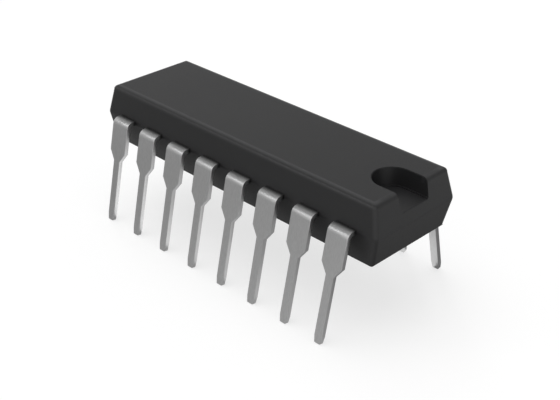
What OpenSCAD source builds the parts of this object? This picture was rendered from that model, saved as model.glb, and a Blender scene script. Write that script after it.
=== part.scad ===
// Integrated circuit in a plastic dual in-line package with sixteen leads.
// The notched end points along +X. Leads 1 to 8 run from +X to -X along the +Y side, and
// leads 9 to 16 run back from -X to +X along the -Y side. The lead tips stand on z = 0.

/* [Moulded body] */
// Length at the parting line
body_l = 21.8; // [21:0.05:23]
// Width at the parting line
body_w = 6.46; // [6.3:0.01:7]
// Height of the upper half, from the parting line to the top face
upper_h = 1.77; // [1.7:0.01:2.1]
// Height of the lower half, from the parting line to the underside
lower_h = 1.77; // [1.4:0.01:2.1]
// Draft of the long sides above the parting line, in degrees
upper_side_draft = 9; // [5:0.1:12]
// Draft of the two ends above the parting line, in degrees
upper_end_draft = 13; // [5:0.1:14]
// Draft of the long sides below the parting line, in degrees
lower_side_draft = 7.7; // [5:0.1:12]
// Draft of the two ends below the parting line, in degrees
lower_end_draft = 12; // [5:0.1:14]
// Radius along the edges of the top face
top_edge_r = 0.35; // [0.15:0.01:0.45]
// Radius along the edges of the underside
bottom_edge_r = 0.08; // [0.04:0.01:0.2]
// Radius of the four upright edges above the parting line
upper_corner_r = 0.26; // [0.1:0.01:0.4]
// Radius of the four upright edges below the parting line
lower_corner_r = 0.26; // [0.06:0.01:0.3]

/* [Notch] */
// Radius of the notch at the top face
notch_r = 1.15; // [0.8:0.01:1.3]
// Length of the notch, from the end of the body to its deepest point
notch_l = 2.81; // [2:0.01:3.4]
// Depth of the notch below the top face
notch_depth = 1.07; // [0.5:0.01:1.2]
// Draft of the notch walls, in degrees
notch_draft = 5; // [1:0.1:8]

/* [Leads] */
// Spacing of the leads in a row
pitch = 2.54; // [2.5:0.01:2.6]
// Thickness of the strip that the leads are stamped from
lead_t = 0.28; // [0.2:0.01:0.34]
// Width of the shoulder of a lead
shoulder_w = 1.38; // [1.2:0.01:1.6]
// Width of the pin below the shoulder
pin_w = 0.53; // [0.4:0.01:0.6]
// Width at the very tip of a pin
tip_w = 0.39; // [0.3:0.01:0.39]
// Height of the bevels at the tip
tip_bevel_h = 0.42; // [0.05:0.01:0.5]
// Height of the seating plane, where the pin ends and the shoulder's taper starts
pin_h = 3.86; // [3:0.01:4.2]
// Height of the taper between pin and shoulder
taper_h = 0.58; // [0.3:0.01:0.8]
// Gap between the seating plane and the underside of the body
standoff = 0.66; // [0.4:0.01:0.9]
// Distance from the body's parting line out to the shoulder's outer face, at the bend
reach = 0.54; // [0.48:0.005:0.8]
// Inside radius of the bend
bend_r = 0.15; // [0.08:0.01:0.2]
// Angle that the legs splay outwards from the vertical, in degrees
splay = 12.5; // [2:0.1:15]

/* [Lead frame inside the body] */
// Depth that the full shoulder width runs into the body
anchor_l = 0.5; // [0.35:0.01:0.6]
// Width of the inner fingers
finger_w = 0.34; // [0.26:0.01:0.38]
// Gap between neighbouring fingers, and between a finger and the paddle
finger_gap = 0.25; // [0.2:0.01:0.28]
// Spacing of the finger tips along the long sides of the paddle
tip_pitch = 1.27; // [1:0.01:1.35]
// Length of the die paddle
paddle_l = 4.6; // [4.3:0.05:5]
// Width of the die paddle
paddle_w = 2.8; // [2.75:0.05:2.9]
// Width of the bars that hold the paddle while the body is moulded
tie_w = 0.3; // [0.2:0.01:0.34]
// Distance that the bars stop short of the ends of the body
tie_inset = 0.6; // [0.5:0.05:1.5]

/* [Die and bond wires] */
// Length of the silicon die
die_l = 1.9; // [1.8:0.05:2.4]
// Width of the silicon die
die_w = 1.5; // [1.3:0.05:1.8]
// Thickness of the silicon die
die_t = 0.3; // [0.2:0.01:0.4]
// Thickness of the adhesive under the die
attach_t = 0.03; // [0.02:0.005:0.05]
// Rim of adhesive that shows around the die
attach_rim = 0.06; // [0.03:0.01:0.12]
// Diameter of a bond wire
wire_d = 0.03; // [0.025:0.001:0.04]
// Height of a wire's loop above the die
loop_h = 0.22; // [0.15:0.01:0.3]
// Radius of the bend at the top of the loop
loop_r = 0.08; // [0.05:0.01:0.1]
// Distance of the bond pads from the edge of the die
pad_inset = 0.1; // [0.07:0.01:0.15]
// Spacing of the bond pads along the long edges of the die
side_pad_pitch = 0.45; // [0.35:0.01:0.5]
// Spacing of the bond pads along the short edges of the die
end_pad_pitch = 0.3; // [0.2:0.01:0.32]
// Diameter of the ball at the die end of a wire
ball_d = 0.08; // [0.06:0.005:0.1]
// Height of the ball
ball_h = 0.02; // [0.015:0.001:0.03]
// Distance of a wire's foot from the tip of its finger
foot_inset = 0.16; // [0.12:0.01:0.22]
// Length of the flattened foot
foot_l = 0.1; // [0.07:0.01:0.12]
// Width of the flattened foot
foot_w = 0.06; // [0.045:0.005:0.08]
// Thickness of the flattened foot
foot_t = 0.012; // [0.008:0.001:0.02]

/* [Hidden] */
$fn = 48;
row_leads = 8;
lead_count = 2 * row_leads;
// Steps in the rounding of a moulded edge, and in the bend of a lead
edge_steps = 6;
bend_steps = 12;
// How far a cutting shape reaches past the surface that it cuts
over = 1;
// How far a corner's rounding starts outside the two faces that it joins
corner_lap = 0.003;
// A wire's bend is this much thicker than the straight wire, which ends this far inside it
bend_swell = 0.001;
wire_lap = 0.004;
parting_z = pin_h + standoff + lower_h;
top_z = parting_z + upper_h;
frame_top_z = parting_z + lead_t / 2;
die_top_z = frame_top_z + attach_t + die_t;

// The bend of a lead, seen from the end of the body on the +Y side
outer_r = bend_r + lead_t;
mid_r = bend_r + lead_t / 2;
bend_y = body_w / 2 + reach - outer_r * tan((90 - splay) / 2);
bend_z = frame_top_z - outer_r;
// Slant length of the straight leg, down to where its inner face reaches z = 0
leg_l = (bend_z + bend_r * sin(splay)) / cos(splay);
// How far the flat part is drawn past the parting line, inside the start of the lead
exit_y = (body_w / 2 + bend_y) / 2;

// The inner fingers, counted outwards from the middle of a row
anchor_y = body_w / 2 - anchor_l;
neck_y = anchor_y - (shoulder_w - finger_w) / 2;
side_tip_y = paddle_w / 2 + finger_gap;
end_tip_x = paddle_l / 2 + finger_gap;
outer_finger_y = tie_w / 2 + finger_gap + finger_w / 2;
inner_finger_y = outer_finger_y + finger_w + finger_gap;

function two_digits(n) = str(n < 10 ? "0" : "", n);
function lead_name(n) = str("lead_", two_digits(n));
function wire_name(n) = str("bond_wire_", two_digits(n));

// Place of lead n of the +Y row, which is 1 at the +X end
function lead_x(n) = ((row_leads + 1) / 2 - n) * pitch;
// 0 for the two leads nearest the middle of the row, 3 for the two at its ends
function rank(n) = floor(abs(n - (row_leads + 1) / 2));
function side_of(n) = lead_x(n) > 0 ? 1 : -1;

// Outline of a strip of one width along a path
function unit(v) = v / norm(v);
function left_of(v) = [-v[1], v[0]];
function mitre(path, i) = let (
    before = unit(i > 0 ? path[i] - path[i - 1] : path[1] - path[0]),
    after = i < len(path) - 1 ? unit(path[i + 1] - path[i]) : before,
    n = unit(left_of(before) + left_of(after))
) n / (n * left_of(before));
function strip(path, w) = concat(
    [for (i = [0 : len(path) - 1]) path[i] + mitre(path, i) * w / 2],
    [for (i = [len(path) - 1 : -1 : 0]) path[i] - mitre(path, i) * w / 2]
);

// Middle line of a finger, from the neck of the lead to its tip, on the +Y side
function finger_path(n) = let (
    x = lead_x(n),
    s = side_of(n),
    r = rank(n),
    y = r == 2 ? inner_finger_y : outer_finger_y
) r < 2
    ? [[x, anchor_y], [x, neck_y], [s * (r + 0.5) * tip_pitch, side_tip_y]]
    : [[x, anchor_y], [x, neck_y], [x - s * (neck_y - y), y], [s * end_tip_x, y]];

// Bond pad of wire n on the die, and the foot of the wire on its finger
function pad_at(n) = rank(n) < 2
    ? [side_of(n) * (rank(n) + 0.5) * side_pad_pitch, die_w / 2 - pad_inset]
    : [side_of(n) * (die_l / 2 - pad_inset), (3.5 - rank(n)) * end_pad_pitch];
function foot_at(n) = let (
    path = finger_path(n),
    tip = path[len(path) - 1],
    before = path[len(path) - 2]
) tip + unit(before - tip) * foot_inset;

// Section of one moulded half above its parting line, with a rounded upper edge
function half_section(half_w, h, draft, r) = let (
    cx = half_w - r / cos(draft) - (h - r) * tan(draft),
    edge = [for (i = [0 : edge_steps]) let (a = draft + (90 - draft) * i / edge_steps)
        [cx + r * cos(a), h - r + r * sin(a)]]
) concat(
    [[half_w, 0]],
    edge,
    [for (i = [edge_steps : -1 : 0]) [-edge[i][0], edge[i][1]]],
    [[-half_w, 0]]
);

// Removes the sharp upright edge at +X +Y, along the line where the two drafted faces meet
module upright_edge_cut(h, side_draft, end_draft, r) {
    lean = sqrt(1 + pow(tan(side_draft), 2) + pow(tan(end_draft), 2));
    corner = acos(sin(side_draft) * sin(end_draft));
    inset = r - corner_lap;
    arc = [for (i = [0 : edge_steps]) let (a = corner * i / edge_steps) r * [cos(a), sin(a)]];
    translate([body_l / 2 - inset / cos(end_draft), body_w / 2 - inset / cos(side_draft), 0])
        rotate([asin(tan(side_draft) / lean), -end_draft, 0])
            translate([0, 0, -over])
                linear_extrude(lean * h + 2 * over)
                    polygon(concat(arc, [
                        (r + over) * [cos(corner), sin(corner)],
                        (r + 2 * over) * [cos(corner / 2), sin(corner / 2)],
                        [r + over, 0]
                    ]));
}

module moulded_half(h, side_draft, end_draft, edge_r, corner_r) {
    difference() {
        intersection() {
            rotate([90, 0, 90])
                linear_extrude(body_l + over, center = true)
                    polygon(half_section(body_w / 2, h, side_draft, edge_r));
            rotate([90, 0, 0])
                linear_extrude(body_w + over, center = true)
                    polygon(half_section(body_l / 2, h, end_draft, edge_r));
        }
        for (mx = [0, 1], my = [0, 1])
            mirror([mx, 0, 0]) mirror([0, my, 0])
                upright_edge_cut(h, side_draft, end_draft, corner_r);
    }
}

// Flat-floored notch through the +X end of the top face
module notch() {
    floor_r = notch_r - notch_depth * tan(notch_draft);
    mouth_r = notch_r + over * tan(notch_draft);
    centre_x = body_l / 2 - notch_l + notch_r;
    h = notch_depth + over;
    translate([centre_x, 0, top_z - notch_depth]) {
        cylinder(h = h, r1 = floor_r, r2 = mouth_r);
        rotate([90, 0, 90])
            linear_extrude(notch_l)
                polygon([[-floor_r, 0], [floor_r, 0], [mouth_r, h], [-mouth_r, h]]);
    }
}

// Turns the shape of a +Y row lead or wire onto lead n of either row
module in_row(n) {
    rotate([0, 0, n > row_leads ? 180 : 0]) children();
}
function row_place(n) = n > row_leads ? n - row_leads : n;

// The part of a lead that lies flat: inner finger, anchor and the exit from the body
module flat_part(m) {
    x = lead_x(m);
    half_w = shoulder_w / 2;
    half_neck = finger_w / 2;
    translate([0, 0, parting_z - lead_t / 2])
        linear_extrude(lead_t)
            union() {
                polygon([
                    [x - half_w, exit_y], [x - half_w, anchor_y], [x - half_neck, neck_y],
                    [x + half_neck, neck_y], [x + half_w, anchor_y], [x + half_w, exit_y]
                ]);
                polygon(strip(finger_path(m), finger_w));
            }
}

// Middle line of a formed lead, seen from the end of the package
function formed_path() = concat(
    [[anchor_y, parting_z]],
    [for (i = [0 : bend_steps]) let (a = 90 - (90 - splay) * i / bend_steps)
        [bend_y + mid_r * cos(a), bend_z + mid_r * sin(a)]],
    [[bend_y + mid_r * cos(splay) + leg_l * sin(splay),
        bend_z + mid_r * sin(splay) - leg_l * cos(splay)]]
);

// Right half of a lead's outline from the front, from the bend down past the tip
function front_outline() = [
    [shoulder_w / 2, top_z], [shoulder_w / 2, pin_h + taper_h], [pin_w / 2, pin_h],
    [pin_w / 2, tip_bevel_h], [tip_w / 2, 0], [tip_w / 2, -over]
];

// The part of a lead that shows: exit, bend, shoulder, taper and pin, bevelled at its tip
module formed_part(m) {
    right = front_outline();
    translate([lead_x(m), 0, 0])
        intersection() {
            rotate([90, 0, 90])
                linear_extrude(shoulder_w + over, center = true)
                    polygon(strip(formed_path(), lead_t));
            rotate([90, 0, 0])
                linear_extrude(2 * body_w + 2 * top_z, center = true)
                    polygon(concat(right, [for (i = [len(right) - 1 : -1 : 0])
                        [-right[i][0], right[i][1]]]));
        }
}

module body() {
    color("#464648")
        difference() {
            union() {
                translate([0, 0, parting_z])
                    moulded_half(upper_h, upper_side_draft, upper_end_draft,
                        top_edge_r, upper_corner_r);
                translate([0, 0, parting_z]) mirror([0, 0, 1])
                    moulded_half(lower_h, lower_side_draft, lower_end_draft,
                        bottom_edge_r, lower_corner_r);
            }
            notch();
            for (n = [1 : lead_count]) in_row(n) flat_part(row_place(n));
            paddle_plate();
            attach_film();
            die_block();
            for (n = [1 : lead_count]) in_row(n) wire_run(row_place(n));
        }
}

module lead(n) {
    color("#b4b4b4")
        in_row(n) {
            flat_part(row_place(n));
            formed_part(row_place(n));
        }
}

module paddle_plate() {
    bar_l = body_l - 2 * tie_inset;
    translate([0, 0, parting_z - lead_t / 2])
        linear_extrude(lead_t)
            union() {
                square([paddle_l, paddle_w], center = true);
                square([bar_l, tie_w], center = true);
            }
}

module attach_film() {
    translate([0, 0, frame_top_z + attach_t / 2])
        cube([die_l + 2 * attach_rim, die_w + 2 * attach_rim, attach_t], center = true);
}

module die_block() {
    translate([0, 0, frame_top_z + attach_t + die_t / 2])
        cube([die_l, die_w, die_t], center = true);
}

module die_paddle() { color("#b87f5a") paddle_plate(); }
module die_attach() { color("#c9c9c4") attach_film(); }
module die() { color("#5c6470") die_block(); }

// Ball on the bond pad, upright wire, bend over the top, straight slope and flattened foot
module wire_run(m) {
    pad = pad_at(m);
    foot = foot_at(m);
    span = norm(foot - pad);
    bend_h = die_top_z + loop_h - loop_r;
    dx = span - loop_r;
    dz = bend_h - frame_top_z;
    slope = atan2(dz, dx) + asin(loop_r / norm([dx, dz]));
    slope_l = sqrt(dx * dx + dz * dz - loop_r * loop_r);
    translate([pad[0], pad[1], 0])
        rotate([0, 0, atan2(foot[1] - pad[1], foot[0] - pad[0])]) {
            translate([0, 0, die_top_z]) cylinder(h = ball_h, d = ball_d, $fn = 24);
            translate([0, 0, die_top_z])
                cylinder(h = loop_h - loop_r + wire_lap, d = wire_d, $fn = 16);
            translate([loop_r, 0, bend_h]) rotate([90, 0, 0]) rotate([0, 0, 90 - slope])
                rotate_extrude(angle = 90 + slope)
                    translate([loop_r, 0]) circle(d = wire_d + bend_swell, $fn = 16);
            difference() {
                translate([loop_r, 0, bend_h]) rotate([0, 90 + slope, 0])
                    translate([-loop_r, 0, -wire_lap])
                        cylinder(h = slope_l + wire_d + wire_lap, d = wire_d, $fn = 16);
                translate([span, 0, frame_top_z - over / 2])
                    cube([2 * foot_l, 2 * foot_w, over], center = true);
            }
            translate([span, 0, frame_top_z + foot_t / 2])
                cube([foot_l, foot_w, foot_t], center = true);
        }
}

module bond_wire(n) {
    color("#d8b24a") in_row(n) wire_run(row_place(n));
}

body();
for (n = [1 : lead_count])
    lead(n);
die_paddle();
die_attach();
die();
for (n = [1 : lead_count])
    bond_wire(n);
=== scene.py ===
import math

import bmesh
import bpy
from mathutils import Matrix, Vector


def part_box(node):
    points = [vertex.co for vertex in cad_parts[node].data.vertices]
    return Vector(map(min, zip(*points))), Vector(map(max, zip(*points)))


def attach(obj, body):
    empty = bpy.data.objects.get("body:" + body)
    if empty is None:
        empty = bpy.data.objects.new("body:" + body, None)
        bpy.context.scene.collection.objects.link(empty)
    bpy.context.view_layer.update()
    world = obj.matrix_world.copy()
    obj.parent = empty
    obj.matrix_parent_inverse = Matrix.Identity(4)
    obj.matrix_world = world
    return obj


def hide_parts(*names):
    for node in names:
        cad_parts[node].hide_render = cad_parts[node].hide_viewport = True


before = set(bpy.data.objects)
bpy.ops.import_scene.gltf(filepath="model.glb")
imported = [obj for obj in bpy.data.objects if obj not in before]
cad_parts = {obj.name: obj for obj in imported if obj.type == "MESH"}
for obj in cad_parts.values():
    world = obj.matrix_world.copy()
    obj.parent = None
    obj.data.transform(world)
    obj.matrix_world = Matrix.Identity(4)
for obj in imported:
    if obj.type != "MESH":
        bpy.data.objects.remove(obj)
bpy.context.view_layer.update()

# Integrated circuit in a plastic dual in-line package. The construction comes from the frame.
# This script adds the moulded body's true edges and surface, the stamped and formed leads
# with their softened edges, and the finish of every piece.

MM = 0.001

# The moulded body. Its length, width and heights are those of its solid in the frame.
BODY_LOW, BODY_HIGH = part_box("body")
HALF_L = BODY_HIGH[0]
HALF_W = BODY_HIGH[1]
UNDERSIDE_Z = BODY_LOW[2]
TOP_Z = BODY_HIGH[2]
LOWER_H = 1.77 * MM
PARTING_Z = UNDERSIDE_Z + LOWER_H
UPPER_H = TOP_Z - PARTING_Z
UPPER_SIDE_DRAFT = math.radians(9)
UPPER_END_DRAFT = math.radians(13)
LOWER_SIDE_DRAFT = math.radians(7.7)
LOWER_END_DRAFT = math.radians(12)
TOP_EDGE_R = 0.35 * MM
BOTTOM_EDGE_R = 0.08 * MM
UPPER_CORNER_R = 0.26 * MM
LOWER_CORNER_R = 0.26 * MM
# Corner radius of the outline of the flat top and underside
CAP_CORNER_R = 0.06 * MM
# The parting line is polished off this far above and below
PARTING_EASE = 0.11 * MM
PARTING_STEPS = 6
EDGE_STEPS = 8
CORNER_STEPS = 8
# Distance of the loops that hold a flat face flat beside a rounded edge
HOLD = 0.04 * MM

# The notch in the +X end
NOTCH_R = 1.15 * MM
NOTCH_L = 2.81 * MM
NOTCH_DEPTH = 1.07 * MM
NOTCH_DRAFT = math.radians(5)
NOTCH_STEPS = 28
NOTCH_LIP_R = 0.03 * MM
NOTCH_FOOT_R = 0.07 * MM
NOTCH_EDGE_STEPS = 4

# The leads, as stamped flat and then formed
PITCH = 2.54 * MM
ROW_LEADS = 8
LEAD_T = 0.28 * MM
SHOULDER_W = 1.38 * MM
PIN_W = 0.53 * MM
TIP_W = 0.39 * MM
TIP_BEVEL_H = 0.42 * MM
PIN_H = 3.86 * MM
TAPER_H = 0.58 * MM
REACH = 0.54 * MM
BEND_R = 0.15 * MM
SPLAY = math.radians(12.5)
BEND_STEPS = 12
STAMPED_EDGE_R = 0.025 * MM
STAMPED_EDGE_STEPS = 3
STAMPED_EDGE_ANGLE = math.radians(40)

# The inner fingers of the lead frame
ANCHOR_L = 0.5 * MM
FINGER_W = 0.34 * MM
FINGER_GAP = 0.25 * MM
TIP_PITCH = 1.27 * MM
PADDLE_L = 4.6 * MM
PADDLE_W = 2.8 * MM
TIE_W = 0.3 * MM

# Faces that meet at less than this angle are shaded as one smooth surface
SMOOTH_ANGLE = math.radians(35)

# The camera of the photograph: a 65.4 mm lens on a 36 mm wide sensor
CAMERA_AZIMUTH = math.radians(45)
CAMERA_ELEVATION = math.radians(29.9)
CAMERA_DISTANCE = 60.93 * MM
CAMERA_AIM = Vector((0.11, 0.9, 2.65)) * MM
CAMERA_LENS = 65.4
SENSOR_W = 36.0
CLIP_START = 1 * MM
CLIP_END = 10.0


def linear(hex_colour):
    """An sRGB hex colour as the linear red, green, blue and alpha that a socket takes."""
    parts = [int(hex_colour[i:i + 2], 16) / 255 for i in (1, 3, 5)]
    return [c / 12.92 if c <= 0.04045 else ((c + 0.055) / 1.055) ** 2.4 for c in parts] + [1.0]


def add_node(tree, kind, settings=None, sockets=None):
    """Adds a node, sets its properties, gives its sockets their values or links, and returns
    its outputs."""
    node = tree.nodes.new(kind)
    for name, value in (settings or {}).items():
        setattr(node, name, value)
    for name, value in (sockets or {}).items():
        if isinstance(value, bpy.types.NodeSocket):
            tree.links.new(value, node.inputs[name])
        else:
            node.inputs[name].default_value = value
    return node.outputs


def new_object(name, mesh):
    thing = bpy.data.objects.new(name, mesh)
    bpy.context.scene.collection.objects.link(thing)
    return thing


def to_object(name, mesh):
    """A new object from a bmesh, which it uses up."""
    data = bpy.data.meshes.new(name)
    mesh.to_mesh(data)
    mesh.free()
    return new_object(name, data)


def plain_mesh(thing, name):
    """The evaluated object as a mesh of its own, with nothing live left on it."""
    graph = bpy.context.evaluated_depsgraph_get()
    mesh = bpy.data.meshes.new_from_object(thing.evaluated_get(graph), depsgraph=graph)
    mesh.name = name
    return mesh


def drop(thing):
    mesh = thing.data
    bpy.data.objects.remove(thing)
    bpy.data.meshes.remove(mesh)


def soften_shading(piece):
    """Smooth shading that stops at sharp edges and keeps large faces flat."""
    piece.data.shade_smooth()
    piece.data.set_sharp_from_angle(angle=SMOOTH_ANGLE)
    modifier = piece.modifiers.new("Flat faces", "WEIGHTED_NORMAL")
    modifier.keep_sharp = True
    modifier.weight = 100


# The moulded body

def roll_start(h, draft, r):
    """Height above the parting line at which a drafted wall turns into its rounded edge."""
    return h - r + r * math.sin(draft)


def half_width(z, half_w, h, draft, r):
    """Half of a moulded half's width at height z above its parting line."""
    if z <= roll_start(h, draft, r):
        return half_w - z * math.tan(draft)
    centre = half_w - r / math.cos(draft) - (h - r) * math.tan(draft)
    rise = min((z - (h - r)) / r, 1.0)
    return centre + r * math.sqrt(1 - rise * rise)


def half_levels(h, draft, r):
    """Heights of the loops of a moulded half, from above the polished parting line to its
    flat face."""
    levels = [PARTING_EASE, PARTING_EASE + HOLD, roll_start(h, draft, r) - HOLD]
    for i in range(EDGE_STEPS + 1):
        angle = draft + (math.pi / 2 - draft) * i / EDGE_STEPS
        levels.append(h - r + r * math.sin(angle))
    return levels


def rounded_rectangle(half_x, half_y, r):
    """Corner points in order round the outline, with a holding point beside each corner."""
    points = []
    for corner, (sx, sy) in enumerate(((1, 1), (-1, 1), (-1, -1), (1, -1))):
        centre = (sx * (half_x - r), sy * (half_y - r))
        start = corner * math.pi / 2
        arc = []
        for i in range(CORNER_STEPS + 1):
            angle = start + math.pi / 2 * i / CORNER_STEPS
            arc.append((centre[0] + r * math.cos(angle), centre[1] + r * math.sin(angle)))
        before = (arc[0][0] + HOLD * math.sin(start), arc[0][1] - HOLD * math.cos(start))
        after = (arc[-1][0] - HOLD * math.cos(start), arc[-1][1] - HOLD * math.sin(start))
        points += [before] + arc + [after]
    return points


def half_loops(h, side_draft, end_draft, edge_r, corner_r):
    """Outline and height of each loop of a moulded half."""
    loops = []
    draft = max(side_draft, end_draft)
    start = roll_start(h, draft, edge_r)
    for z in half_levels(h, draft, edge_r):
        half_x = half_width(z, HALF_L, h, end_draft, edge_r)
        half_y = half_width(z, HALF_W, h, side_draft, edge_r)
        share = max(0.0, (z - start) / (h - start))
        r = corner_r + (CAP_CORNER_R - corner_r) * share
        loops.append((rounded_rectangle(half_x, half_y, r), z))
    half_x = half_width(h, HALF_L, h, end_draft, edge_r) - HOLD
    half_y = half_width(h, HALF_W, h, side_draft, edge_r) - HOLD
    loops.append((rounded_rectangle(half_x, half_y, CAP_CORNER_R), h))
    return loops


def parting_loops():
    """Outline and height of the loops through which one half's draft turns into the other's."""
    loops = []
    for i in range(1, PARTING_STEPS):
        z = PARTING_EASE * (2 * i / PARTING_STEPS - 1)
        halves = []
        for half, upper_draft, lower_draft in ((HALF_L, UPPER_END_DRAFT, LOWER_END_DRAFT),
                                               (HALF_W, UPPER_SIDE_DRAFT, LOWER_SIDE_DRAFT)):
            inset = math.tan(upper_draft) * (PARTING_EASE + z) ** 2
            inset += math.tan(lower_draft) * (PARTING_EASE - z) ** 2
            halves.append(half - inset / (4 * PARTING_EASE))
        share = i / PARTING_STEPS
        r = LOWER_CORNER_R + (UPPER_CORNER_R - LOWER_CORNER_R) * share
        loops.append((rounded_rectangle(halves[0], halves[1], r), z))
    return loops


def body_blank():
    """The body before its notch: two drafted halves that run into each other."""
    upper = half_loops(UPPER_H, UPPER_SIDE_DRAFT, UPPER_END_DRAFT, TOP_EDGE_R, UPPER_CORNER_R)
    lower = half_loops(LOWER_H, LOWER_SIDE_DRAFT, LOWER_END_DRAFT, BOTTOM_EDGE_R, LOWER_CORNER_R)
    mesh = bmesh.new()
    loops = []
    for outline, z in reversed(lower):
        loops.append([mesh.verts.new((x, y, PARTING_Z - z)) for x, y in outline])
    for outline, z in parting_loops() + upper:
        loops.append([mesh.verts.new((x, y, PARTING_Z + z)) for x, y in outline])
    for below, above in zip(loops, loops[1:]):
        for i in range(len(below)):
            j = (i + 1) % len(below)
            mesh.faces.new((below[i], below[j], above[j], above[i]))
    mesh.faces.new(list(reversed(loops[0])))
    mesh.faces.new(loops[-1])
    bmesh.ops.recalc_face_normals(mesh, faces=mesh.faces)
    return mesh


# Material slots that tell the notch's faces from the outside while the body is cut
OUTSIDE = 0
IN_NOTCH = 1


def notch_cutter():
    """Flat-floored U with drafted walls, open through the +X end and past the top face."""
    rise = NOTCH_DEPTH + NOTCH_R
    centre_x = HALF_L - NOTCH_L + NOTCH_R
    end_x = HALF_L + NOTCH_R
    floor_z = TOP_Z - NOTCH_DEPTH
    mesh = bmesh.new()
    rings = []
    for z in (floor_z, floor_z + rise):
        r = NOTCH_R + (z - TOP_Z) * math.tan(NOTCH_DRAFT)
        ring = [mesh.verts.new((end_x, -r, z)), mesh.verts.new((end_x, r, z))]
        for i in range(NOTCH_STEPS + 1):
            angle = math.pi / 2 + math.pi * i / NOTCH_STEPS
            ring.append(mesh.verts.new((centre_x + r * math.cos(angle), r * math.sin(angle), z)))
        rings.append(ring)
    low, high = rings
    for i in range(len(low)):
        j = (i + 1) % len(low)
        mesh.faces.new((low[i], low[j], high[j], high[i]))
    mesh.faces.new(list(reversed(low)))
    mesh.faces.new(high)
    for face in mesh.faces:
        face.material_index = IN_NOTCH
    bmesh.ops.recalc_face_normals(mesh, faces=mesh.faces)
    return mesh


def round_notch_edges(data):
    """Rounds the foot of the notch's walls, and then its lip."""
    mesh = bmesh.new()
    mesh.from_mesh(data)
    floor_z = TOP_Z - NOTCH_DEPTH
    for sides, radius in (({IN_NOTCH}, NOTCH_FOOT_R), ({OUTSIDE, IN_NOTCH}, NOTCH_LIP_R)):
        edges = []
        for edge in mesh.edges:
            at_floor = all(abs(v.co.z - floor_z) < HOLD for v in edge.verts)
            slots = {face.material_index for face in edge.link_faces}
            if slots == sides and (at_floor or OUTSIDE in sides):
                edges.append(edge)
        bmesh.ops.bevel(mesh, geom=edges, offset=radius, segments=NOTCH_EDGE_STEPS,
                        affect="EDGES", clamp_overlap=True, material=IN_NOTCH)
    for face in mesh.faces:
        face.material_index = OUTSIDE
    mesh.to_mesh(data)
    mesh.free()


def moulded_body(compound):
    blank = to_object("package_body", body_blank())
    cutter = to_object("notch_cutter", notch_cutter())
    for thing in (blank, cutter):
        for _ in (OUTSIDE, IN_NOTCH):
            thing.data.materials.append(compound)
    cut = blank.modifiers.new("Notch", "BOOLEAN")
    cut.operation = "DIFFERENCE"
    cut.solver = "EXACT"
    cut.object = cutter
    data = plain_mesh(blank, "package_body")
    drop(cutter)
    drop(blank)
    round_notch_edges(data)
    data.materials.clear()
    data.materials.append(compound)
    piece = new_object("package_body", data)
    soften_shading(piece)
    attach(piece, "root")
    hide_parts("body")


# The leads

MID_R = BEND_R + LEAD_T / 2
OUTER_R = BEND_R + LEAD_T
BEND_ANGLE = math.pi / 2 - SPLAY
BEND_Y = HALF_W + REACH - OUTER_R * math.tan(BEND_ANGLE / 2)
BEND_Z = PARTING_Z + LEAD_T / 2 - OUTER_R
LEG_L = (BEND_Z + BEND_R * math.sin(SPLAY)) / math.cos(SPLAY)
ANCHOR_Y = HALF_W - ANCHOR_L
NECK_Y = ANCHOR_Y - (SHOULDER_W - FINGER_W) / 2


def finger_path(place):
    """Middle line of a finger, from its tip to the neck of the lead, on the +Y side."""
    x = ((ROW_LEADS + 1) / 2 - place) * PITCH
    side = 1 if x > 0 else -1
    rank = int(abs(place - (ROW_LEADS + 1) / 2))
    if rank < 2:
        tip = Vector((side * (rank + 0.5) * TIP_PITCH, PADDLE_W / 2 + FINGER_GAP))
        return [tip, Vector((x, NECK_Y))]
    y = TIE_W / 2 + FINGER_GAP + FINGER_W / 2
    if rank == 2:
        y += FINGER_W + FINGER_GAP
    tip = Vector((side * (PADDLE_L / 2 + FINGER_GAP), y))
    return [tip, Vector((x - side * (NECK_Y - y), y)), Vector((x, NECK_Y))]


def stations(place):
    """Middle point, half width and cross direction of each rung of the flat stamped lead."""
    path = finger_path(place)
    x = path[-1].x
    path.append(Vector((x, ANCHOR_Y)))
    rungs = []
    for i in range(len(path) - 1):
        after = (path[i + 1] - path[i]).normalized()
        before = (path[i] - path[i - 1]).normalized() if i else after
        cross = Vector((-before.y - after.y, before.x + after.x)).normalized()
        stretch = cross.dot(Vector((-before.y, before.x)))
        rungs.append((path[i], FINGER_W / 2 / stretch, cross))
    bend_end = BEND_Y + MID_R * BEND_ANGLE
    leg_top_z = BEND_Z + MID_R * math.sin(SPLAY)
    straight = [(ANCHOR_Y, SHOULDER_W)]
    for i in range(BEND_STEPS + 1):
        straight.append((BEND_Y + MID_R * BEND_ANGLE * i / BEND_STEPS, SHOULDER_W))
    straight.append((bend_end + (leg_top_z - PIN_H - TAPER_H) / math.cos(SPLAY), SHOULDER_W))
    straight.append((bend_end + (leg_top_z - PIN_H) / math.cos(SPLAY), PIN_W))
    straight.append((bend_end + LEG_L - TIP_BEVEL_H, PIN_W))
    straight.append((bend_end + LEG_L, TIP_W))
    for y, width in straight:
        rungs.append((Vector((x, y)), width / 2, Vector((-1, 0))))
    return rungs


def stamped_lead(place):
    """The flat lead as it is stamped from the strip, still unbent, as a ladder of rungs."""
    mesh = bmesh.new()
    rungs = []
    for middle, half, cross in stations(place):
        left, right = middle + cross * half, middle - cross * half
        rungs.append([
            mesh.verts.new((left.x, left.y, LEAD_T / 2)),
            mesh.verts.new((right.x, right.y, LEAD_T / 2)),
            mesh.verts.new((right.x, right.y, -LEAD_T / 2)),
            mesh.verts.new((left.x, left.y, -LEAD_T / 2)),
        ])
    for a, b in zip(rungs, rungs[1:]):
        for i in range(4):
            j = (i + 1) % 4
            mesh.faces.new((a[i], a[j], b[j], b[i]))
    mesh.faces.new(rungs[0])
    mesh.faces.new(list(reversed(rungs[-1])))
    bmesh.ops.recalc_face_normals(mesh, faces=mesh.faces)
    return mesh


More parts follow.
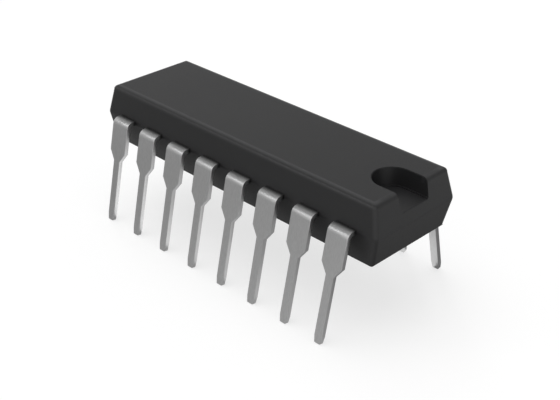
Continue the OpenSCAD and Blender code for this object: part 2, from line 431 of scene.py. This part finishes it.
# How a point of the flat lead moves when the lead is bent: each step's name, what is done, and
# to what. X, Y and Z are the point's own, and the capitalised names are the tree's inputs.
FORMING = (
    ("past start", "SUBTRACT", "Y", "Bend start"),
    ("angle past start", "DIVIDE", "past start", "Middle radius"),
    ("angle from start", "MAXIMUM", "angle past start", 0.0),
    ("turned", "MINIMUM", "angle from start", "Bend angle"),
    ("arc", "MULTIPLY", "Middle radius", "Bend angle"),
    ("past arc", "SUBTRACT", "past start", "arc"),
    ("down leg", "MAXIMUM", "past arc", 0.0),
    ("own radius", "ADD", "Middle radius", "Z"),
    ("sine turned", "SINE", "turned"),
    ("cosine turned", "COSINE", "turned"),
    ("sine leg", "SINE", "Bend angle"),
    ("cosine leg", "COSINE", "Bend angle"),
    ("y of flat", "MINIMUM", "Y", "Bend start"),
    ("y over arc", "MULTIPLY", "own radius", "sine turned"),
    ("y to arc", "ADD", "y of flat", "y over arc"),
    ("y over leg", "MULTIPLY", "down leg", "cosine leg"),
    ("y", "ADD", "y to arc", "y over leg"),
    ("z of centre", "SUBTRACT", "Flat height", "Middle radius"),
    ("z over arc", "MULTIPLY", "own radius", "cosine turned"),
    ("z to arc", "ADD", "z of centre", "z over arc"),
    ("z over leg", "MULTIPLY", "down leg", "sine leg"),
    ("formed z", "SUBTRACT", "z to arc", "z over leg"),
    ("formed x", "MULTIPLY", "X", "Row side"),
    ("formed y", "MULTIPLY", "y", "Row side"),
)


def forming_tree(tin):
    """Geometry Nodes that bend a flat stamped lead round the forming tool's radius."""
    tree = bpy.data.node_groups.new("Form the lead", "GeometryNodeTree")
    face = tree.interface
    face.new_socket("Stamped lead", in_out="INPUT", socket_type="NodeSocketGeometry")
    for name in ("Bend start", "Middle radius", "Bend angle", "Flat height", "Row side"):
        face.new_socket(name, in_out="INPUT", socket_type="NodeSocketFloat")
    face.new_socket("Formed lead", in_out="OUTPUT", socket_type="NodeSocketGeometry")
    values = {socket.name: socket for socket in add_node(tree, "NodeGroupInput")}
    where = add_node(tree, "GeometryNodeInputPosition")
    for socket in add_node(tree, "ShaderNodeSeparateXYZ", None, {0: where[0]}):
        values[socket.name] = socket
    for name, operation, *parts in FORMING:
        sockets = {i: values.get(part, part) for i, part in enumerate(parts)}
        values[name] = add_node(tree, "ShaderNodeMath", {"operation": operation}, sockets)[0]
    place = add_node(tree, "ShaderNodeCombineXYZ", None, {
        "X": values["formed x"], "Y": values["formed y"], "Z": values["formed z"]})
    bent = add_node(tree, "GeometryNodeSetPosition", None,
                    {"Geometry": values["Stamped lead"], "Position": place[0]})
    real = add_node(tree, "GeometryNodeRealizeInstances", None, {0: bent[0]})
    plated = add_node(tree, "GeometryNodeSetMaterial", None,
                      {"Geometry": real[0], "Material": tin})
    add_node(tree, "NodeGroupOutput", None, {0: plated[0]})
    return tree


def formed_lead(number, tree):
    place = number if number <= ROW_LEADS else number - ROW_LEADS
    blank = to_object("stamped_lead", stamped_lead(place))
    edges = blank.modifiers.new("Stamped edges", "BEVEL")
    edges.width = STAMPED_EDGE_R
    edges.segments = STAMPED_EDGE_STEPS
    edges.limit_method = "ANGLE"
    edges.angle_limit = STAMPED_EDGE_ANGLE
    form = blank.modifiers.new("Form", "NODES")
    form.node_group = tree
    values = {
        "Bend start": BEND_Y,
        "Middle radius": MID_R,
        "Bend angle": BEND_ANGLE,
        "Flat height": PARTING_Z,
        "Row side": 1.0 if number <= ROW_LEADS else -1.0,
    }
    for socket in tree.interface.items_tree:
        if socket.name in values:
            form[socket.identifier] = values[socket.name]
    name = f"formed_lead_{number:02d}"
    piece = new_object(name, plain_mesh(blank, name))
    drop(blank)
    soften_shading(piece)
    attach(piece, "root")
    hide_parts(f"lead_{number:02d}")


# Materials

COLOURS = {"data_type": "RGBA"}
SMOOTH = {"interpolation_type": "SMOOTHSTEP"}
# Nearly all of a noise's values lie between these two
NOISE_LOW = 0.3
NOISE_HIGH = 0.7

# The painted highlight, a lighter colour along the edges of the top face: how far it reaches onto
# the face, how far past the face's edge it stays full, and where it ends
EDGE_HIGHLIGHT_IN = 0.1 * MM
EDGE_HIGHLIGHT_FULL = 0.08 * MM
EDGE_HIGHLIGHT_OUT = 0.24 * MM
# The painted highlight is fainter along the ends, and grows to full strength before it meets the
# sides
END_HIGHLIGHT = 0.35
END_HIGHLIGHT_LAST = 0.6 * MM
SIDE_HIGHLIGHT_FIRST = 0.1 * MM
# Reach of the painted shade on a lead, darkest where it leaves the body, out from the body
PAINTED_SHADE_REACH = 0.26 * MM


def surface_material(name, colour, roughness, metallic=0.0):
    material = bpy.data.materials.new(name)
    material.use_nodes = True
    tree = material.node_tree
    shader = tree.nodes["Principled BSDF"]
    shader.inputs["Base Color"].default_value = linear(colour)
    shader.inputs["Roughness"].default_value = roughness
    shader.inputs["Metallic"].default_value = metallic
    return material, tree, shader


def own_axes(tree):
    """The piece's own X, Y and Z, which are the frame's."""
    place = add_node(tree, "ShaderNodeTexCoord")["Object"]
    return add_node(tree, "ShaderNodeSeparateXYZ", None, {0: place})


def grain(tree, size, detail=2.0, stretch=(1.0, 1.0, 1.0)):
    """Noise with a grain of that size in metres, in the piece's own coordinates."""
    place = add_node(tree, "ShaderNodeTexCoord")["Object"]
    drawn = add_node(tree, "ShaderNodeMapping", None, {"Vector": place, "Scale": stretch})
    noise = add_node(tree, "ShaderNodeTexNoise", None,
                     {"Vector": drawn[0], "Scale": 1 / size, "Detail": detail})
    return noise["Fac"]


def roughen(tree, shader, pattern, low, high, depth=0.0, strength=0.0):
    """Lets a grain take the roughness from low to high, and raise the surface by a depth."""
    level = add_node(tree, "ShaderNodeMapRange", None, {
        "Value": pattern, "From Min": NOISE_LOW, "From Max": NOISE_HIGH,
        "To Min": low, "To Max": high})
    tree.links.new(level["Result"], shader.inputs["Roughness"])
    if depth:
        relief = add_node(tree, "ShaderNodeBump", None,
                          {"Height": pattern, "Distance": depth, "Strength": strength})
        tree.links.new(relief[0], shader.inputs["Normal"])


def painted_edge_highlight(tree):
    """1 along the edges of the top face, where a lighter colour is painted in as a highlight."""
    line_x = half_width(UPPER_H, HALF_L, UPPER_H, UPPER_END_DRAFT, TOP_EDGE_R)
    line_y = half_width(UPPER_H, HALF_W, UPPER_H, UPPER_SIDE_DRAFT, TOP_EDGE_R)
    axes = own_axes(tree)
    past = {}
    for axis, line in (("X", line_x), ("Y", line_y)):
        out = add_node(tree, "ShaderNodeMath", {"operation": "ABSOLUTE"}, {0: axes[axis]})
        past[axis] = add_node(tree, "ShaderNodeMath", {"operation": "SUBTRACT"},
                              {0: out[0], 1: line})[0]
    furthest = add_node(tree, "ShaderNodeMath", {"operation": "MAXIMUM"},
                        {0: past["X"], 1: past["Y"]})[0]
    highlight_mask = add_node(tree, "ShaderNodeMath", {"operation": "GREATER_THAN"},
                   {0: axes["Z"], 1: TOP_Z - TOP_EDGE_R})[0]
    for source, start, end, low, high in (
            (furthest, -EDGE_HIGHLIGHT_IN, 0.0, 0.0, 1.0),
            (furthest, EDGE_HIGHLIGHT_FULL, EDGE_HIGHLIGHT_OUT, 1.0, 0.0),
            (past["Y"], -END_HIGHLIGHT_LAST, -SIDE_HIGHLIGHT_FIRST, END_HIGHLIGHT, 1.0)):
        ramp = add_node(tree, "ShaderNodeMapRange", SMOOTH, {
            "Value": source, "From Min": start, "From Max": end, "To Min": low, "To Max": high})
        highlight_mask = add_node(tree, "ShaderNodeMath", {"operation": "MULTIPLY"},
                       {0: highlight_mask, 1: ramp["Result"]})[0]
    return highlight_mask


def epoxy_moulding_compound():
    """Black epoxy full of fine silica, moulded against spark-eroded steel: a deep grey
    surface with an even, very fine matte grain, and a lighter colour painted along the edges of
    its top as a highlight."""
    material, tree, shader = surface_material("Epoxy moulding compound", "#1f1f20", 0.4)
    shader.inputs["IOR"].default_value = 1.5
    # The mould's sparks leave pits of about 0.03 mm, drawn at 0.07 mm so that they show
    pits = grain(tree, 0.07 * MM, 3.0)
    # Flow of the compound, millimetres wide
    flow = grain(tree, 2.6 * MM, 1.0)
    skin = add_node(tree, "ShaderNodeMix", COLOURS,
                    {0: flow, 6: linear("#1d1d1e"), 7: linear("#212122")})
    # A lighter colour painted along the edges of the top face as a highlight
    highlighted_skin = add_node(tree, "ShaderNodeMix", COLOURS,
                    {0: painted_edge_highlight(tree), 6: skin[2], 7: linear("#383839")})
    tree.links.new(highlighted_skin[2], shader.inputs["Base Color"])
    roughen(tree, shader, pits, 0.36, 0.44, 0.006 * MM, 0.35)
    return material


def matte_tin_plate():
    """Matte tin plated on stamped copper alloy: a pale warm grey metal whose fine crystals
    blur reflections, with faint lines from the rolled strip."""
    material, tree, shader = surface_material("Matte tin plate", "#c5c5c5", 0.4, 1.0)
    # Tin crystals are a few micrometres wide, drawn at 0.05 mm so that they show
    crystals = grain(tree, 0.05 * MM, 2.0)
    # Rolling lines of the strip run down the leads, drawn 0.06 mm apart
    lines = grain(tree, 0.06 * MM, 2.0, (1.0, 1.0, 0.05))
    rolled_tin = add_node(tree, "ShaderNodeMix", COLOURS,
                     {0: lines, 6: linear("#bababa"), 7: linear("#d0d0d0")})
    # Painted shade darkens each lead where it leaves the body
    across = add_node(tree, "ShaderNodeMath", {"operation": "ABSOLUTE"}, {0: own_axes(tree)["Y"]})
    painted_shade = add_node(tree, "ShaderNodeMapRange", SMOOTH, {
        "Value": across[0], "From Min": HALF_W, "From Max": HALF_W + PAINTED_SHADE_REACH,
        "To Min": 1.0, "To Max": 0.0})
    shaded_tin = add_node(tree, "ShaderNodeMix", COLOURS,
                      {0: painted_shade["Result"], 6: rolled_tin[2], 7: linear("#565656")})
    tree.links.new(shaded_tin[2], shader.inputs["Base Color"])
    roughen(tree, shader, crystals, 0.35, 0.45, 0.002 * MM, 0.3)
    return material


def stamped_copper_alloy():
    """Bare stamped copper alloy of the paddle: satin, with the strip's rolling lines."""
    material, tree, shader = surface_material("Stamped copper alloy", "#c98a63", 0.35, 1.0)
    lines = grain(tree, 0.04 * MM, 2.0, (0.08, 1.0, 1.0))
    roughen(tree, shader, lines, 0.28, 0.42, 0.002 * MM, 0.3)
    return material


def silver_epoxy():
    """Cured epoxy with silver flakes under the die: a dull grey paste that sparkles a little."""
    material, tree, shader = surface_material("Silver-filled epoxy", "#a9a9a4", 0.55, 0.4)
    flakes = grain(tree, 0.02 * MM)
    paste = add_node(tree, "ShaderNodeMix", COLOURS,
                     {0: flakes, 6: linear("#8f8f8b"), 7: linear("#bdbdb8")})
    tree.links.new(paste[2], shader.inputs["Base Color"])
    roughen(tree, shader, flakes, 0.4, 0.65)
    return material


def polished_silicon():
    """Silicon with its finished face up: a dark blue-grey mirror with a faint cloud."""
    material, tree, shader = surface_material("Polished silicon", "#4d5563", 0.18, 0.6)
    cloud = grain(tree, 0.3 * MM)
    face = add_node(tree, "ShaderNodeMix", COLOURS,
                    {0: cloud, 6: linear("#474f5e"), 7: linear("#575f6c")})
    tree.links.new(face[2], shader.inputs["Base Color"])
    roughen(tree, shader, cloud, 0.14, 0.22)
    return material


def drawn_gold():
    """Drawn gold wire: warm yellow metal with the die's fine lines along it."""
    material, tree, shader = surface_material("Drawn gold wire", "#e2b84f", 0.22, 1.0)
    roughen(tree, shader, grain(tree, 0.01 * MM), 0.18, 0.28)
    return material


def finish_node(node, material):
    """Gives a solid of the frame that stays as it is its finish."""
    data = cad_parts[node].data
    data.materials.clear()
    data.materials.append(material)


# Stage, light and camera

FLOOR_HALF = 1.5
FLOOR_ALBEDO = 0.34
FLOOR_LIFT = 0.69
AMBIENT = 0.5
# Each lamp: direction towards it, strength, and the angle in degrees that it fills
LAMPS = {
    "key": ((-0.61, -0.54, 0.58), 0.07, 10),
    "back_light": ((-0.61, 0.38, 0.7), 0.17, 12),
    "overhead": ((-0.2, -0.1, 1.0), 1.3, 60),
}
# Share of a card's glow that is left in the reflection of a reflection. It keeps the gaps
# between leads and body as dark as they are.
SECOND_SIGHT = 0.1
# Heights of the flat cards above the floor, in millimetres. The end card passes under the
# front card's edge.
CARD_LIFT = 0.05
END_CARD_LIFT = 0.04


def lying(lift, *corners):
    """Corners of a card that lies flat at that height, in millimetres."""
    return [(x, y, lift) for x, y in corners]


def strip(x_low, x_high, y_start, y_end):
    return lying(CARD_LIFT, (x_low, y_start), (x_high, y_start), (x_high, y_end), (x_low, y_end))


# Each card: its corners in millimetres, its grey at its lowest and at its highest x, and how
# strongly it glows
CARDS = {
    "front_card": (strip(-28, 40, -4.7, -120), (-28, "#8c8c8c"), (8, "#c0c0c0"), 1.0),
    "front_left_card": (strip(-90, -28, -4.7, -120), (-90, "#a6a6a6"), (-28, "#a6a6a6"), 1.0),
    "front_wall": (((-150, -50, 0), (-30, -150, 0), (-30, -150, 55), (-150, -50, 88)),
                   (-150, "#b4b4b4"), (-30, "#b8b8b8"), 1.0),
    "overhead_card": (((-230, -96, 150), (60, -96, 150), (60, 90, 150), (-230, 90, 150)),
                      (-230, "#787878"), (60, "#787878"), 1.0),
    "back_card": (((-200, 10, 0), (-10, 200, 0), (-10, 200, 260), (-200, 10, 260)),
                  (-200, "#bababa"), (-10, "#9e9e9e"), 1.0),
    "far_end_wall": (((40, 160, 12), (200, 40, 12), (200, 40, 240), (40, 160, 240)),
                     (40, "#a8a8a8"), (200, "#a8a8a8"), 1.0),
    "near_row_card": (strip(-16, 14, -4.7, -2.4), (-9, "#ffffff"), (10, "#8c8c8c"), 1.5),
    "middle_card": (strip(-16, 14, -2.4, 2.4), (-8, "#e4e4e4"), (12, "#787878"), 1.2),
    "far_row_card": (strip(-16, 8.8, 2.4, 5.2), (-6, "#ffffff"), (8.8, "#ffffff"), 1.0),
    "end_card": (lying(END_CARD_LIFT, (8.8, 2.4), (14, 2.4), (14, -10), (26, -10), (26, 36),
                       (-4, 36), (-4, 5.2), (8.8, 5.2)), (11, "#868686"), (24, "#cacaca"), 1.0),
    "side_card": (lying(CARD_LIFT, (26, -10), (100, -40), (100, 100), (26, 36)),
                  (26, "#c6c6c6"), (100, "#c6c6c6"), 1.0),
}


def seen_directly(tree):
    """1 for camera, glossy and transmission rays, so that metal shows the background too."""
    path = add_node(tree, "ShaderNodeLightPath")
    mirrored = add_node(tree, "ShaderNodeMath", {"operation": "MAXIMUM"},
                        {0: path["Is Glossy Ray"], 1: path["Is Transmission Ray"]})
    return add_node(tree, "ShaderNodeMath", {"operation": "MAXIMUM"},
                    {0: path["Is Camera Ray"], 1: mirrored[0]})[0]


def white_world():
    """White to the eye and in the metal, and a plain soft level of light elsewhere."""
    world = bpy.data.worlds.new("Studio")
    world.use_nodes = True
    bpy.context.scene.world = world
    tree = world.node_tree
    background = tree.nodes["Background"]
    background.inputs["Color"].default_value = (1.0, 1.0, 1.0, 1.0)
    level = add_node(tree, "ShaderNodeMapRange", None,
                     {"Value": seen_directly(tree), "To Min": AMBIENT, "To Max": 1.0})
    tree.links.new(level["Result"], background.inputs["Strength"])


def stage_material(name):
    """An empty material, and its tree."""
    material = bpy.data.materials.new(name)
    material.use_nodes = True
    material.node_tree.nodes.clear()
    return material, material.node_tree


def pale_floor():
    """A pale matte floor that takes the object's shadow and blends into the background."""
    mesh = bmesh.new()
    bmesh.ops.create_grid(mesh, x_segments=1, y_segments=1, size=FLOOR_HALF)
    floor = to_object("floor", mesh)
    material, tree = stage_material("Pale floor")
    grey = (FLOOR_ALBEDO, FLOOR_ALBEDO, FLOOR_ALBEDO, 1.0)
    matte = add_node(tree, "ShaderNodeBsdfDiffuse", None, {"Color": grey})
    strength = add_node(tree, "ShaderNodeMath", {"operation": "MULTIPLY"},
                        {0: seen_directly(tree), 1: FLOOR_LIFT})
    lift = add_node(tree, "ShaderNodeEmission", None, {"Strength": strength[0]})
    both = add_node(tree, "ShaderNodeAddShader", None, {0: matte[0], 1: lift[0]})
    add_node(tree, "ShaderNodeOutputMaterial", None, {"Surface": both[0]})
    floor.data.materials.append(material)


def grey_card(name, corners, low_end, high_end, strength):
    """A photographer's grey card beside the object, which only reflections see. It gives
    the metal the mid grey that it has against a white background."""
    mesh = bmesh.new()
    mesh.faces.new([mesh.verts.new(Vector(corner) * MM) for corner in corners])
    card = to_object(name, mesh)
    material, tree = stage_material(name)
    share = add_node(tree, "ShaderNodeMapRange", None, {
        "Value": own_axes(tree)["X"], "From Min": low_end[0] * MM, "From Max": high_end[0] * MM})
    grey = add_node(tree, "ShaderNodeMix", COLOURS,
                    {0: share["Result"], 6: linear(low_end[1]), 7: linear(high_end[1])})
    path = add_node(tree, "ShaderNodeLightPath")
    level = add_node(tree, "ShaderNodeMapRange", None, {
        "Value": path["Glossy Depth"], "From Min": 1.0, "From Max": 2.0,
        "To Min": strength, "To Max": SECOND_SIGHT * strength})
    glow = add_node(tree, "ShaderNodeEmission", None,
                    {"Color": grey[2], "Strength": level["Result"]})
    add_node(tree, "ShaderNodeOutputMaterial", None, {"Surface": glow[0]})
    card.data.materials.append(material)
    card.visible_camera = False
    card.visible_diffuse = False
    card.visible_shadow = False
    card.visible_transmission = False


def lamp(name, direction, strength, angle):
    data = bpy.data.lights.new(name, "SUN")
    data.energy = strength
    data.angle = math.radians(angle)
    thing = new_object(name, data)
    thing.rotation_mode = "QUATERNION"
    thing.rotation_quaternion = Vector(direction).to_track_quat("Z", "Y")


def camera():
    data = bpy.data.cameras.new("camera")
    data.lens = CAMERA_LENS
    data.sensor_width = SENSOR_W
    data.clip_start = CLIP_START
    data.clip_end = CLIP_END
    eye = new_object("camera", data)
    level = math.cos(CAMERA_ELEVATION)
    back = Vector((math.sin(CAMERA_AZIMUTH) * level, -math.cos(CAMERA_AZIMUTH) * level,
                   math.sin(CAMERA_ELEVATION)))
    eye.location = CAMERA_AIM + back * CAMERA_DISTANCE
    eye.rotation_mode = "QUATERNION"
    eye.rotation_quaternion = (-back).to_track_quat("-Z", "Y")
    bpy.context.scene.camera = eye


camera()
white_world()
pale_floor()
for lamp_name, lamp_values in LAMPS.items():
    lamp(lamp_name, *lamp_values)
for card_name, card_values in CARDS.items():
    grey_card(card_name, *card_values)

moulded_body(epoxy_moulding_compound())
lead_forming = forming_tree(matte_tin_plate())
for lead_number in range(1, 2 * ROW_LEADS + 1):
    formed_lead(lead_number, lead_forming)

finish_node("die_paddle", stamped_copper_alloy())
finish_node("die_attach", silver_epoxy())
finish_node("die", polished_silicon())
gold = drawn_gold()
for wire_number in range(1, 2 * ROW_LEADS + 1):
    finish_node(f"bond_wire_{wire_number:02d}", gold)

bpy.context.scene.view_settings.view_transform = "Standard"
